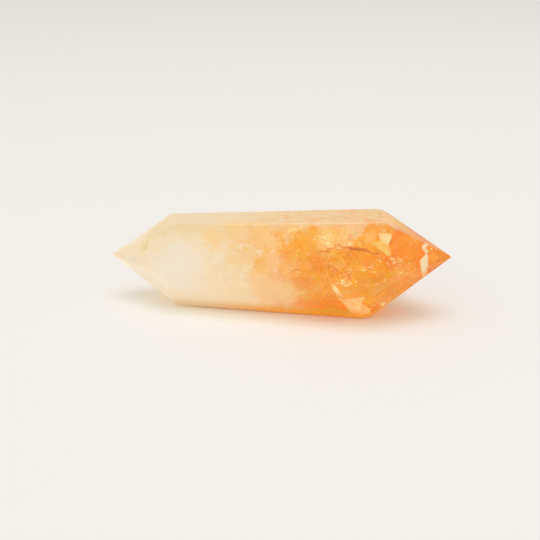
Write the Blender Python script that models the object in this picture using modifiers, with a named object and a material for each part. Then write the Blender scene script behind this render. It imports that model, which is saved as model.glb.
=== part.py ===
"""Citrine crystal point: one piece of quartz with six long sides and a six-faced point at each end.

It lies on its lowest side. +X runs from the milky end to the clear orange end, -Y is the front, +Z is up,
and the origin is under the middle of its box. All sizes are in metres.
"""

import math

import bmesh
import bpy
from mathutils import Matrix, Vector

MM = 0.001

SHARP_LENGTH = 80.6 * MM  # between the sharp tips; rounding their ridges leaves 80 mm
MILKY_TIP_HEIGHT = 10.0 * MM
CLEAR_TIP_HEIGHT = 14.1 * MM

# The section is an uneven hexagon that grows steadily towards the clear end.
MILKY_RADIUS = 11.15 * MM  # at the milky station
CLEAR_RADIUS = 13.1 * MM  # at the clear station
MILKY_STATION = -24.9 * MM
CLEAR_STATION = 24.3 * MM

# Each corner of the section, in the order the blank is turned: (across, up) as shares of the radius.
CORNERS = {
    "top_back": (0.47, 1.76),
    "middle_back": (1.01, 0.83),
    "low_back": (0.49, 0.0),
    "low_front": (-0.49, 0.0),
    "middle_front": (-1.01, 0.83),
    "top_front": (-0.47, 1.76),
}

# Where the long edge at each corner ends and the point begins. Hand cutting leaves them uneven.
MILKY_SHOULDERS = {
    "top_back": -26.7 * MM,
    "middle_back": -24.3 * MM,
    "low_back": -23.4 * MM,
    "low_front": -22.7 * MM,
    "middle_front": -24.9 * MM,
    "top_front": -22.8 * MM,
}
CLEAR_SHOULDERS = {
    "top_back": 23.3 * MM,
    "middle_back": 24.6 * MM,
    "low_back": 23.0 * MM,
    "low_front": 22.1 * MM,
    "middle_front": 24.3 * MM,
    "top_front": 25.0 * MM,
}

# Two corners of the clear shoulder are worn flat: name of the corner and how deep the flat goes.
WORN_CORNERS = {"top_back": 0.40 * MM, "low_front": 0.60 * MM}

EDGE_ROUNDING = 0.35 * MM  # on the long edges and shoulders
RIDGE_SHARE = 0.4  # the ridges of the points are this share as round, so the tips stay sharp
EDGE_SEGMENTS = 3
MERGE_DISTANCE = 0.001 * MM

CITRINE = (0.86, 0.52, 0.22, 1.0)
ROUGHNESS = 0.08
QUARTZ_IOR = 1.544


def clear_scene():
    for thing in list(bpy.data.objects):
        bpy.data.objects.remove(thing, do_unlink=True)


def section_radius(x):
    """The radius of the section at x: a straight taper through the two stations."""
    share = (x - MILKY_STATION) / (CLEAR_STATION - MILKY_STATION)
    return MILKY_RADIUS + share * (CLEAR_RADIUS - MILKY_RADIUS)


def corner_point(corner, x):
    """Where the long edge of this corner is at x."""
    across, up = CORNERS[corner]
    radius = section_radius(x)
    return Vector((x, across * radius, up * radius))


def blank_crystal():
    """A six-sided tapered prism lying along X, standing in for the rough crystal."""
    mesh = bmesh.new()
    bmesh.ops.create_cone(
        mesh,
        cap_ends=True,
        segments=len(CORNERS),
        radius1=MILKY_RADIUS,
        radius2=CLEAR_RADIUS,
        depth=CLEAR_STATION - MILKY_STATION,
    )
    lay_down = Matrix.Rotation(math.radians(90), 4, "Y")
    bmesh.ops.transform(mesh, matrix=lay_down, verts=mesh.verts)
    return mesh


def nearest_corner(point):
    """The corner of the section that lies in the same direction from the axis as this point of the blank."""
    middle_height = 0.87
    direction = Vector((point.y, point.z)).normalized()

    def agreement(corner):
        across, up = CORNERS[corner]
        return direction.dot(Vector((across, up - middle_height)).normalized())

    return max(CORNERS, key=agreement)


def cut_shoulders(mesh):
    """Slides each corner of the blank to where its long edge ends. Returns the corners of the clear end."""
    clear_corners = {}
    for vertex in mesh.verts:
        corner = nearest_corner(vertex.co)
        if vertex.co.x > 0:
            vertex.co = corner_point(corner, CLEAR_SHOULDERS[corner])
            clear_corners[corner] = vertex.co.copy()
        else:
            vertex.co = corner_point(corner, MILKY_SHOULDERS[corner])
    return clear_corners


def cut_points(mesh):
    """Each end cap becomes six facets that meet in a tip."""
    caps = [face for face in mesh.faces if abs(face.normal.x) > 0.9]
    tips = bmesh.ops.poke(mesh, faces=caps)["verts"]
    for tip in tips:
        if tip.co.x > 0:
            tip.co = Vector((SHARP_LENGTH / 2, 0, CLEAR_TIP_HEIGHT))
        else:
            tip.co = Vector((-SHARP_LENGTH / 2, 0, MILKY_TIP_HEIGHT))


def wear_corner(mesh, corner, depth):
    """Grinds a small flat on a corner, square to the mean direction of the faces that meet there."""
    vertex = min(mesh.verts, key=lambda v: (v.co - corner).length)
    outward = sum((face.normal for face in vertex.link_faces), Vector()).normalized()
    everything = mesh.verts[:] + mesh.edges[:] + mesh.faces[:]
    bmesh.ops.bisect_plane(
        mesh, geom=everything, plane_co=corner - outward * depth, plane_no=outward, clear_outer=True
    )
    rim = [edge for edge in mesh.edges if edge.is_boundary]
    bmesh.ops.holes_fill(mesh, edges=rim)


def weight_edges(mesh):
    """Full rounding everywhere except on the ridges that run to a tip."""
    weight = mesh.edges.layers.float.new("bevel_weight_edge")
    for edge in mesh.edges:
        at_tip = max(abs(vertex.co.x) for vertex in edge.verts) > 0.999 * SHARP_LENGTH / 2
        edge[weight] = RIDGE_SHARE if at_tip else 1.0


def citrine_material():
    material = bpy.data.materials.new("citrine")
    material.use_nodes = True
    surface = material.node_tree.nodes["Principled BSDF"]
    surface.inputs["Base Color"].default_value = CITRINE
    surface.inputs["Metallic"].default_value = 0.0
    surface.inputs["Roughness"].default_value = ROUGHNESS
    surface.inputs["IOR"].default_value = QUARTZ_IOR
    surface.inputs["Transmission Weight"].default_value = 1.0
    return material


def build_crystal(collection):
    mesh = blank_crystal()
    clear_corners = cut_shoulders(mesh)
    mesh.normal_update()
    cut_points(mesh)
    mesh.normal_update()
    for corner, depth in WORN_CORNERS.items():
        wear_corner(mesh, clear_corners[corner], depth)
        mesh.normal_update()
    bmesh.ops.remove_doubles(mesh, verts=mesh.verts, dist=MERGE_DISTANCE)
    bmesh.ops.recalc_face_normals(mesh, faces=mesh.faces)
    weight_edges(mesh)

    data = bpy.data.meshes.new("citrine_point")
    mesh.to_mesh(data)
    mesh.free()
    crystal = bpy.data.objects.new("citrine_point", data)
    collection.objects.link(crystal)

    rounding = crystal.modifiers.new("rounded edges", "BEVEL")
    rounding.limit_method = "WEIGHT"
    rounding.width = EDGE_ROUNDING
    rounding.segments = EDGE_SEGMENTS
    data.materials.append(citrine_material())
    return crystal


def main():
    clear_scene()
    collection = bpy.data.collections.new("citrine crystal point")
    bpy.context.scene.collection.children.link(collection)
    build_crystal(collection)


main()
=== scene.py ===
# %% [markdown]
# # A citrine crystal point
#
# Citrine is quartz with a trace of iron in it. This one was cut by hand with six long sides and a six-faced
# point at each end, and polished all over. One end is milky, like thin porcelain, and the other is clear
# orange and full of small cracks. Light goes into such a stone, turns about and comes out again, so the work
# here is less in its outline, which is plain, than in what lies inside it.

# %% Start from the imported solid
import math
import random

import bmesh
import bpy
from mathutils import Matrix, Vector, noise


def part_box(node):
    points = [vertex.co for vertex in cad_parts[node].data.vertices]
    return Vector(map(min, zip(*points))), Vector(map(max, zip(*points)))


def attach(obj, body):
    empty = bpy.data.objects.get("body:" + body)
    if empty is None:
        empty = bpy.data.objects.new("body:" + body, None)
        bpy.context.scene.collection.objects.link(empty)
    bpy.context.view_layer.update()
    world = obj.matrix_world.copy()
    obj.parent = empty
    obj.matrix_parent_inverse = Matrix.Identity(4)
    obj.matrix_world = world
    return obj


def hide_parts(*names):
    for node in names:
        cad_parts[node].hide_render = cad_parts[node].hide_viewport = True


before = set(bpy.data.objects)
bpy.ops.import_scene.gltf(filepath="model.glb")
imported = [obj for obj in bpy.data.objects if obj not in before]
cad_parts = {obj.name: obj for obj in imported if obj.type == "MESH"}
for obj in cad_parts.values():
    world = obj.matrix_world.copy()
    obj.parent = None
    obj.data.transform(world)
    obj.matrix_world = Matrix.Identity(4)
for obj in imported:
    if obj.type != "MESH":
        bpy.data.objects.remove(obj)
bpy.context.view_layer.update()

MM = 0.001
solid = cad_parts["citrine_point"]
low_corner, high_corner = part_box("citrine_point")
crystal_size = high_corner - low_corner
print("the solid measures", [round(side / MM, 1) for side in crystal_size], "mm")

# %% [markdown]
# ## The camera
#
# A small object is best seen with a long lens from a short way off: its shape stays true, and the near end
# still looks a little larger than the far one. The camera stands a bit to the right and looks down on the
# crystal at a low angle. Placing it by an azimuth and an elevation around the crystal is easier to read than
# three rotation angles. The crystal sits a little left and high of where the camera aims.

# %% Place the camera
CAMERA_AZIMUTH = math.radians(11.25)
CAMERA_ELEVATION = math.radians(17.5)
CAMERA_DISTANCE = 314.3 * MM
CAMERA_LENS = 90  # millimetres, as is the width of the sensor
SENSOR_WIDTH = 36
AIM_HEIGHT = 11 * MM
AIM_RIGHT = -1.75 * MM
AIM_UP = -2.39 * MM


def direction_from_crystal(azimuth, elevation):
    """The direction out from the crystal: azimuth 0 is -Y, and it turns towards +X."""
    level = math.cos(elevation)
    return Vector((math.sin(azimuth) * level, -math.cos(azimuth) * level, math.sin(elevation)))


def add_to_scene(name, data):
    thing = bpy.data.objects.new(name, data)
    bpy.context.scene.collection.objects.link(thing)
    return thing


to_camera = direction_from_crystal(CAMERA_AZIMUTH, CAMERA_ELEVATION)
camera_right = Vector((math.cos(CAMERA_AZIMUTH), math.sin(CAMERA_AZIMUTH), 0))
camera_up = to_camera.cross(camera_right)

lens = bpy.data.cameras.new("camera")
lens.lens = CAMERA_LENS
lens.sensor_width = SENSOR_WIDTH
camera = add_to_scene("camera", lens)
aim = Vector((0, 0, AIM_HEIGHT)) + camera_right * AIM_RIGHT + camera_up * AIM_UP
camera.location = aim + to_camera * CAMERA_DISTANCE
camera.rotation_mode = "QUATERNION"
camera.rotation_quaternion = (-to_camera).to_track_quat("-Z", "Y")
bpy.context.scene.camera = camera
print("camera at", [round(part / MM) for part in camera.location], "mm")

# %% [markdown]
# ## White paper
#
# The crystal lies on smooth white paper that runs back without a visible end. A curved sweep would do that,
# and so does a flat plane that is far larger than the crystal, which is simpler. The paper also gives off a
# very little light of its own, in place of what a whole bright room would add. Every material here starts
# from the same few lines, so they are a helper, and a second one sets a node's inputs by their names.

# %% Lay the paper
PAPER_SIDE = 8  # metres
PAPER_COLOUR = (0.90, 0.88, 0.85, 1)
PAPER_GLOW = 0.06


def set_up(node, **values):
    """Sets inputs of the node by name, where _ stands for a space."""
    for label, value in values.items():
        node.inputs[label.replace("_", " ")].default_value = value


def new_material(name):
    """A material, its node tree and the Principled BSDF that it starts with."""
    material = bpy.data.materials.new(name)
    material.use_nodes = True
    return material, material.node_tree, material.node_tree.nodes["Principled BSDF"]


def make_paper():
    bpy.ops.mesh.primitive_plane_add(size=PAPER_SIDE)
    paper = bpy.context.object
    paper.name = "paper"
    material, _, surface = new_material("white paper")
    set_up(surface, Base_Color=PAPER_COLOUR, Roughness=0.7, Specular_IOR_Level=0.2)
    set_up(surface, Emission_Color=PAPER_COLOUR, Emission_Strength=PAPER_GLOW)
    paper.data.materials.append(material)


make_paper()
print("the paper is", PAPER_SIDE, "metres square")

# %% [markdown]
# ## Helpers for shader nodes
#
# A shader is a small calculation: sums, ramps and mixes, wired together. Wiring each node by hand takes many
# lines, so each kind gets a helper that makes the node, feeds it and hands back its output. What is fed in
# may be a number, a colour or the output of another node. The rest then reads much like plain arithmetic.
# The first helpers are for single values: a sum or a product, and a ramp, which is a Map Range node.

# %% Write the helpers for values
def feed(tree, operand, socket):
    """Links the operand to the socket if it is an output, or else sets it there as a constant."""
    if isinstance(operand, bpy.types.NodeSocket):
        tree.links.new(operand, socket)
    else:
        socket.default_value = operand


def math_node(tree, operation, first, second):
    made = tree.nodes.new("ShaderNodeMath")
    made.operation = operation
    feed(tree, first, made.inputs[0])
    feed(tree, second, made.inputs[1])
    return made.outputs[0]


def times(tree, first, second):
    return math_node(tree, "MULTIPLY", first, second)


def ramp_between(tree, value, start, end, low=0.0, high=1.0, smooth=True):
    """low before start, high after end, and a rise between them. start may be the larger one."""
    made = tree.nodes.new("ShaderNodeMapRange")
    made.interpolation_type = "SMOOTHSTEP" if smooth else "LINEAR"
    set_up(made, From_Min=start, From_Max=end, To_Min=low, To_Max=high)
    feed(tree, value, made.inputs["Value"])
    return made.outputs["Result"]


print("helpers for values:", math_node.__name__, times.__name__, ramp_between.__name__)

# %% [markdown]
# ## Helpers for colours and places
#
# Two colours are mixed by a share, and so are two whole shaders, each with its own node. And a place or a
# direction is three numbers in one, so a helper takes it apart into X, Y and Z.

# %% Write the helpers for colours and places
def mixed(tree, share, first, second):
    """From the first colour to the second by share."""
    made = tree.nodes.new("ShaderNodeMix")
    made.data_type = "RGBA"
    feed(tree, share, made.inputs["Factor"])
    feed(tree, first, made.inputs[6])
    feed(tree, second, made.inputs[7])
    return made.outputs[2]


def mixed_shader(tree, share, first, second):
    made = tree.nodes.new("ShaderNodeMixShader")
    feed(tree, share, made.inputs["Fac"])
    feed(tree, first, made.inputs[1])
    feed(tree, second, made.inputs[2])
    return made.outputs["Shader"]


def axes_of(tree, place):
    """The X, Y and Z of a place or a direction, each as an output."""
    apart = tree.nodes.new("ShaderNodeSeparateXYZ")
    feed(tree, place, apart.inputs[0])
    return [apart.outputs[axis] for axis in "XYZ"]


print("helpers for colours and places:", mixed.__name__, mixed_shader.__name__, axes_of.__name__)

# %% [markdown]
# ## A light tent
#
# Nearly all the light comes from all around, as in a tent of white cloth. The world can be that tent: its
# strength depends on the direction, brighter in front and low down, and dimmer behind and overhead, so that
# the facets differ a little in tone. The camera is shown something else, the colour that the lit paper has
# far off, with a slow fade upwards like haze. So the paper has no horizon line, even from a low angle.

# %% Put up the tent
TENT_LIGHT = (1.0, 0.985, 0.955, 1)
TENT_IN_FRONT = 1.04
TENT_BEHIND = 0.58
TENT_OVERHEAD = 0.68  # times the strength at the same side low down
PAPER_FAR_OFF = (0.624, 0.61, 0.571, 1)
PAPER_AS_LIT = (0.905, 0.875, 0.825, 1)
HAZE_HEIGHT = 0.35  # of the height of a direction, where straight up is 1


def make_tent():
    world = bpy.data.worlds.new("light tent")
    world.use_nodes = True
    tree = world.node_tree
    _, back, up = axes_of(tree, tree.nodes.new("ShaderNodeTexCoord").outputs["Generated"])
    around = ramp_between(tree, back, -1, 1, low=TENT_IN_FRONT, high=TENT_BEHIND, smooth=False)
    above = ramp_between(tree, up, 0, 1, low=1, high=TENT_OVERHEAD, smooth=False)
    light = tree.nodes["Background"]
    set_up(light, Color=TENT_LIGHT)
    feed(tree, times(tree, around, above), light.inputs["Strength"])
    seen = tree.nodes.new("ShaderNodeBackground")
    haze = ramp_between(tree, up, 0, HAZE_HEIGHT, smooth=False)
    feed(tree, mixed(tree, haze, PAPER_FAR_OFF, PAPER_AS_LIT), seen.inputs["Color"])
    for_camera = tree.nodes.new("ShaderNodeLightPath").outputs["Is Camera Ray"]
    shown = mixed_shader(tree, for_camera, light.outputs["Background"], seen.outputs["Background"])
    feed(tree, shown, tree.nodes["World Output"].inputs["Surface"])
    bpy.context.scene.world = world


make_tent()
print("the tent is", round(TENT_IN_FRONT / TENT_BEHIND, 2), "times as bright in front as behind")

# %% [markdown]
# ## One large panel
#
# A tent alone gives hardly any shadow, and the crystal would seem to float. One large panel overhead, a
# little to the right and in front, gives a shadow with a soft edge. It is an area light, because the edge of
# a shadow gets its softness from the size of the lamp. Light needs many bounces to find its way out of
# quartz, so the limits on them are high. The Standard view transform sends the colours to the screen
# unchanged, where the default one would turn white paper grey.

# %% Hang the panel
PANEL_SIZE = 0.8
PANEL_HEIGHT = 1.0
PANEL_RIGHT = 0.04
PANEL_BACK = -0.05
PANEL_POWER = 3.8
BOUNCES = 32
DIFFUSE_BOUNCES = 8


def make_panel():
    panel = bpy.data.lights.new("panel", "AREA")
    panel.shape = "SQUARE"
    panel.size = PANEL_SIZE
    panel.energy = PANEL_POWER
    lamp = add_to_scene("panel", panel)
    lamp.location = (PANEL_RIGHT, PANEL_BACK, PANEL_HEIGHT)
    tilt = -math.atan2(PANEL_BACK, PANEL_HEIGHT)
    lean = math.atan2(PANEL_RIGHT, PANEL_HEIGHT)
    lamp.rotation_euler = (tilt, lean, 0)


make_panel()
bpy.context.scene.view_settings.view_transform = "Standard"
paths = bpy.context.scene.cycles
paths.max_bounces = paths.transmission_bounces = paths.transparent_max_bounces = BOUNCES
paths.glossy_bounces = BOUNCES
paths.diffuse_bounces = DIFFUSE_BOUNCES
print("light follows up to", BOUNCES, "bounces through the stone")

# %% [markdown]
# ## The polished skin
#
# The outside is flat facets with very slightly rounded edges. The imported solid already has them, so the skin
# is a finer copy of it: its flat triangles are joined, cut into small ones and moved by a few hundredths of a
# millimetre, because a facet that is polished by hand is never quite flat. That is what makes reflections on
# a real stone bend a little. A Weighted Normal modifier keeps the shading of the large facets flat.

# %% Make the skin from the solid
FINEST_EDGE = 1.2 * MM
SAME_PLACE = 0.001 * MM
SAME_PLANE = math.radians(0.5)
WAVE_HEIGHT = 0.03 * MM
WAVE_SIZE = 9 * MM


def cut_finer(mesh, longest, rounds):
    """Halves every edge that is longer than that, round after round, and keeps all faces triangles."""
    for _ in range(rounds):
        long_edges = [edge for edge in mesh.edges if edge.calc_length() > longest]
        if not long_edges:
            break
        bmesh.ops.subdivide_edges(mesh, edges=long_edges, cuts=1)
        bmesh.ops.triangulate(mesh, faces=mesh.faces)


def to_object(name, mesh):
    """Puts the edited mesh into the scene as an object of that name."""
    data = bpy.data.meshes.new(name)
    mesh.to_mesh(data)
    mesh.free()
    return add_to_scene(name, data)


def make_skin():
    mesh = bmesh.new()
    mesh.from_mesh(solid.data)
    bmesh.ops.remove_doubles(mesh, verts=mesh.verts, dist=SAME_PLACE)
    bmesh.ops.dissolve_limit(mesh, angle_limit=SAME_PLANE, verts=mesh.verts, edges=mesh.edges)
    bmesh.ops.triangulate(mesh, faces=mesh.faces)
    cut_finer(mesh, FINEST_EDGE, rounds=7)
    mesh.normal_update()
    for vertex in mesh.verts:
        wave = noise.noise(vertex.co / WAVE_SIZE)
        vertex.co += vertex.normal * (wave - 1) * WAVE_HEIGHT
    for face in mesh.faces:
        face.smooth = True
    made = to_object("polished_skin", mesh)
    even = made.modifiers.new("flat facets", "WEIGHTED_NORMAL")
    even.weight = 100
    return made


skin = make_skin()
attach(skin, "root")
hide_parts("citrine_point")
print("the skin has", len(skin.data.polygons), "triangles")

# %% [markdown]
# ## Groups of nodes
#
# Clouds, milk and colour run through the whole stone, in the skin and in what lies inside it. They could be
# copied into each material. An effect that several materials share is better kept as a node group, with named
# inputs and outputs, so that it is built once and placed wherever it is needed.

# %% Write the helpers for groups
def new_group(name, inputs, outputs):
    """An empty shader group. Each input is (name, default), and each output is (name, socket type)."""
    tree = bpy.data.node_groups.new(name, "ShaderNodeTree")
    for label, value in inputs:
        length = len(value) if isinstance(value, tuple) else 1
        kind = {1: "NodeSocketFloat", 3: "NodeSocketVector", 4: "NodeSocketColor"}[length]
        socket = tree.interface.new_socket(name=label, in_out="INPUT", socket_type=kind)
        socket.default_value = value
    for label, kind in outputs:
        tree.interface.new_socket(name=label, in_out="OUTPUT", socket_type=kind)
    return tree, tree.nodes.new("NodeGroupInput"), tree.nodes.new("NodeGroupOutput")


def place_group(tree, group, **values):
    """Places the group and hands back its first output."""
    placed = tree.nodes.new("ShaderNodeGroup")
    placed.node_tree = group
    set_up(placed, **values)
    return placed.outputs[0]


print("helpers for groups:", new_group.__name__, place_group.__name__)

# %% [markdown]
# ## Noise in the stone
#
# Natural stone is never even, and noise is what makes it uneven here. It is laid out in the crystal's own
# space, in three directions, so it fills the stone like real clouds and does not stick to the faces. One kind
# of noise makes them all: its size sets how large the clouds are, its detail adds finer ones, and an offset
# moves to another part of it, for clouds that do not match the first.

# %% Write the helpers for noise
NOISE_ASIDE = (1.0, 0.7, -0.4)  # the way that an offset moves the noise


def own_space(tree):
    """The place that is being shaded, in the crystal's own space."""
    return tree.nodes.new("ShaderNodeTexCoord").outputs["Object"]


def noise_of(tree, place, scale, detail, roughness):
    made = tree.nodes.new("ShaderNodeTexNoise")
    set_up(made, Detail=detail, Roughness=roughness)
    feed(tree, scale, made.inputs["Scale"])
    feed(tree, place, made.inputs["Vector"])
    return made.outputs["Fac"]


def noise_at(tree, place, size, detail=3.0, roughness=0.55, offset=0.0):
    """Noise of that size, in metres, as a value around 0.5. Another offset gives other clouds."""
    shifted = tree.nodes.new("ShaderNodeVectorMath")
    shifted.operation = "ADD"
    shifted.inputs[1].default_value = [offset * share for share in NOISE_ASIDE]
    feed(tree, place, shifted.inputs[0])
    return noise_of(tree, shifted.outputs[0], 1 / size, detail, roughness)


def moved_by(tree, value, mask, distance):
    """The value, plus the distance where the mask is 1."""
    return math_node(tree, "ADD", value, times(tree, mask, distance))


def around_zero(tree, value):
    return math_node(tree, "SUBTRACT", value, 0.5)


def ramp_through(tree, value, stops):
    """A colour ramp through the stops. Each is (position, colour)."""
    made = tree.nodes.new("ShaderNodeValToRGB")
    ramp = made.color_ramp
    while len(ramp.elements) < len(stops):
        ramp.elements.new(0.5)
    for element, (position, colour) in zip(ramp.elements, stops):
        element.position = position
        element.color = colour
    feed(tree, value, made.inputs["Fac"])
    return made.outputs["Color"]


print("an offset moves the noise along", NOISE_ASIDE)

# %% [markdown]
# ## From the milky end to the clear one
#
# Both the milk and the colour change along the crystal, but not at a line: they fade in uneven clouds, and
# the border leans. Up at the top the orange reaches further towards the milky end, low down it reaches less
# far, and right at the foot, where light gathers from the paper, further again. A value that runs from 0 at
# one tip to 1 at the other, pushed to and fro by height and by noise, does all of that at once.

# %% Measure along the crystal
LOW_SIDE_TOP = 12 * MM
LOW_SIDE_FLOOR = 6 * MM
FOOT_TOP = 3.5 * MM
# Each is (the height where it starts, the height where it is full, how far it moves the colours).
HEIGHT_SHIFTS = (
    (LOW_SIDE_TOP, LOW_SIDE_FLOOR, -5 * MM),
    (12 * MM, 20 * MM, 6 * MM),
    (FOOT_TOP, 0.0, 10 * MM),
)
WARM_HALF_FROM = -14 * MM
WARM_HALF_TO = 12 * MM
half_length = round(crystal_size.x / 2 / MM) * MM


def along_crystal(tree, place, clouds):
    """0 at the milky tip and 1 at the clear one. Each cloud is (size, shift, offset)."""
    along, _, height = axes_of(tree, place)
    for start, full, shift in HEIGHT_SHIFTS:
        along = moved_by(tree, along, ramp_between(tree, height, start, full), shift)
    for size, shift, offset in clouds:
        cloud = around_zero(tree, noise_at(tree, place, size, offset=offset))
        along = moved_by(tree, along, cloud, shift)
    return ramp_between(tree, along, -half_length, half_length, smooth=False)


def warm_half(tree, place):
    """0 at the milky end and 1 from the middle on."""
    return ramp_between(tree, axes_of(tree, place)[0], WARM_HALF_FROM, WARM_HALF_TO)


print("the clouds run from", -half_length / MM, "to", half_length / MM, "mm along the crystal")

# %% [markdown]
# ## Soft patches
#
# No two places in the stone have quite the same colour: there are white clouds, honey stains, deep orange
# spots. Each could be painted by hand on an image, but an image has to be unwrapped onto the facets and shows
# its seams. A patch that is a ball in space has no seams: how far a place is from its centre, with noise
# added to make the rim ragged, gives a mask. It becomes a group, since both materials use many of them.

# %% Build the soft patch
PATCH_NOISE = 1.3  # waves across the size of the patch
PATCH_RIM = 1.2  # times its size, where the patch ends
PATCH_CORE = 0.4  # times its size, where it is full
PATCH_STRENGTH = 0.85


def build_soft_patch():
    """A round cloud with an uneven rim: strong at its centre and 0 at its size from there."""
    tree, given, output = new_group(
        "soft patch",
        [("Centre", (0.0, 0.0, 0.0)), ("Size", 3 * MM), ("Raggedness", 1.0)],
        [("Mask", "NodeSocketFloat")],
    )
    place = own_space(tree)
    away = tree.nodes.new("ShaderNodeVectorMath")
    away.operation = "DISTANCE"
    feed(tree, place, away.inputs[0])
    feed(tree, given.outputs["Centre"], away.inputs[1])
    share = math_node(tree, "DIVIDE", away.outputs["Value"], given.outputs["Size"])
    scale = math_node(tree, "DIVIDE", PATCH_NOISE, given.outputs["Size"])
    ragged = around_zero(tree, noise_of(tree, place, scale, detail=6, roughness=0.65))
    share = moved_by(tree, share, ragged, given.outputs["Raggedness"])
    fade = ramp_between(tree, share, PATCH_RIM, PATCH_CORE)
    feed(tree, times(tree, fade, PATCH_STRENGTH), output.inputs["Mask"])
    return tree


soft_patch = build_soft_patch()


def patch_mask(tree, centre, size, raggedness):
    """The mask of a patch whose centre and size are in millimetres."""
    centre = [side * MM for side in centre]
    return place_group(tree, soft_patch, Centre=centre, Size=size * MM, Raggedness=raggedness)


print("group:", soft_patch.name)

# %% [markdown]
# ## Where the patches are
#
# The milky end has one large white cloud, with grey and yellow cream towards its tip and amber stains above.
# The clear end has deep orange spots, beige and yellow ones near the shoulder, where cracks come close to the
# surface, and glowing ones low down. A patch also says how milky the stone is there: 1 hides what lies
# inside, and 0 opens a window onto it. The patches are drawn in this order, so a later one covers an earlier.

# %% List the patches
WHITE_MILK = (0.90, 0.79, 0.64, 1)
WHITE_SPECK = (1.0, 0.93, 0.80, 1)
GREY_CREAM = (0.84, 0.73, 0.56, 1)
YELLOW_CREAM = (0.85, 0.66, 0.34, 1)
BEIGE = (0.90, 0.69, 0.40, 1)
PALE_PEACH = (0.92, 0.69, 0.36, 1)
PALE_YELLOW = (0.98, 0.70, 0.26, 1)
AMBER = (0.94, 0.67, 0.30, 1)
HONEY = (0.86, 0.66, 0.32, 1)
GOLD = (1.0, 0.58, 0.10, 1)
SPOT_ORANGE = (0.93, 0.46, 0.09, 1)
LOW_ORANGE = (1.0, 0.42, 0.03, 1)
WARM_ORANGE = (0.93, 0.41, 0.03, 1)
SHOULDER_ORANGE = (0.92, 0.37, 0.015, 1)
SHOULDER_DEEP = (0.92, 0.30, 0.01, 1)
DEEP_ORANGE = (0.95, 0.30, 0.008, 1)
WINDOW_ORANGE = (0.96, 0.25, 0.006, 1)
BROWN_SPECK = (0.42, 0.26, 0.11, 1)
# Each patch is (centre in millimetres, size in millimetres, raggedness, colour, milkiness).
PATCHES = (
    ((-22.5, -10.5, 10.0), 7.5, 1.4, WHITE_MILK, 1.0),
    ((-30.8, -4.0, 13.7), 1.2, 3.0, HONEY, 0.95),
    ((-13.5, -7.2, 17.6), 3.2, 3.0, AMBER, 0.95),
    ((-8.5, -6.0, 19.5), 3.0, 3.0, AMBER, 0.9),
    ((-2.5, -6.8, 18.6), 3.0, 3.0, AMBER, 0.7),
    ((-8.7, -9.2, 13.4), 1.6, 3.0, AMBER, 0.9),
    ((0.5, -7.6, 17.6), 2.4, 3.0, AMBER, 0.75),
    ((-2.0, -10.1, 13.2), 1.8, 2.5, SPOT_ORANGE, 0.95),
    ((-10.8, -8.1, 16.2), 0.28, 0.5, WHITE_SPECK, 0.9),
    ((-6.8, -8.2, 16.7), 0.34, 0.5, WHITE_SPECK, 1.0),
    ((-17.3, -9.5, 12.9), 0.26, 0.5, WHITE_SPECK, 0.9),
    ((-28.5, -1.5, 17.5), 4.5, 2.0, YELLOW_CREAM, 1.0),
    ((-32.5, -3.5, 7.5), 4.5, 2.0, GREY_CREAM, 1.0),
    ((-26.5, -5.2, 3.2), 4.0, 2.0, GREY_CREAM, 1.0),
    ((0.8, -10.5, 14.0), 2.2, 3.0, PALE_PEACH, 0.6),
    ((1.2, -10.1, 6.5), 5.8, 1.2, PALE_PEACH, 0.75),
    ((10.8, -9.2, 16.2), 2.2, 4.0, DEEP_ORANGE, 0.5),
    ((8.6, -12.0, 11.3), 2.0, 4.0, WARM_ORANGE, 0.4),
    ((12.5, -7.9, 19.0), 2.4, 3.0, BEIGE, 0.25),
    ((16.8, -7.8, 19.8), 2.6, 3.0, BEIGE, 0.3),
    ((19.5, -6.7, 21.3), 2.6, 3.0, BEIGE, 0.6),
    ((22.8, -6.7, 21.3), 2.2, 3.0, WARM_ORANGE, 0.6),
    ((22.8, -10.3, 15.3), 1.9, 3.0, WINDOW_ORANGE, 0.85),
    ((22.5, -8.1, 19.6), 1.9, 2.5, PALE_YELLOW, 0.45),
    ((29.5, -8.9, 11.9), 2.4, 2.5, GOLD, 0.4),
    ((11.6, -10.9, 13.6), 2.2, 3.0, WINDOW_ORANGE, 0.35),
    ((29.8, -6.2, 16.3), 2.3, 2.0, WINDOW_ORANGE, 0.75),
    ((9.7, -6.8, 20.4), 1.6, 3.0, WARM_ORANGE, 0.6),
    ((3.6, -7.4, 18.8), 1.8, 3.0, PALE_PEACH, 0.6),
    ((13.7, -7.8, 2.7), 6.0, 2.0, LOW_ORANGE, 0.35),
    ((30.5, -5.2, 16.3), 4.0, 2.0, DEEP_ORANGE, 0.5),
    ((39.0, -1.0, 14.0), 3.4, 1.0, DEEP_ORANGE, 0.7),
    ((34.5, -3.5, 14.0), 3.2, 1.0, DEEP_ORANGE, 0.05),
    ((26.5, 0.5, 21.2), 4.0, 3.0, PALE_YELLOW, 0.55),
    ((31.0, 0.0, 19.2), 4.2, 2.5, SHOULDER_ORANGE, 0.8),
    ((36.0, 1.2, 16.4), 3.0, 2.0, SHOULDER_DEEP, 0.75),
    ((24.6, -6.6, 22.0), 0.9, 3.0, SHOULDER_ORANGE, 0.9),
    ((26.2, -5.9, 22.0), 1.0, 3.0, SHOULDER_ORANGE, 0.9),
    ((27.0, -5.8, 21.2), 0.8, 3.0, SHOULDER_ORANGE, 0.9),
    ((23.4, 1.4, 23.0), 0.5, 1.0, BROWN_SPECK, 1.0),
    ((26.0, -6.0, 4.0), 2.0, 4.0, PALE_YELLOW, 0.35),
    ((29.5, -4.2, 6.2), 2.2, 3.0, LOW_ORANGE, 0.5),
    ((33.4, -2.8, 9.3), 2.4, 3.0, LOW_ORANGE, 0.45),
)
print(len(PATCHES), "patches in the skin")

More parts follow.
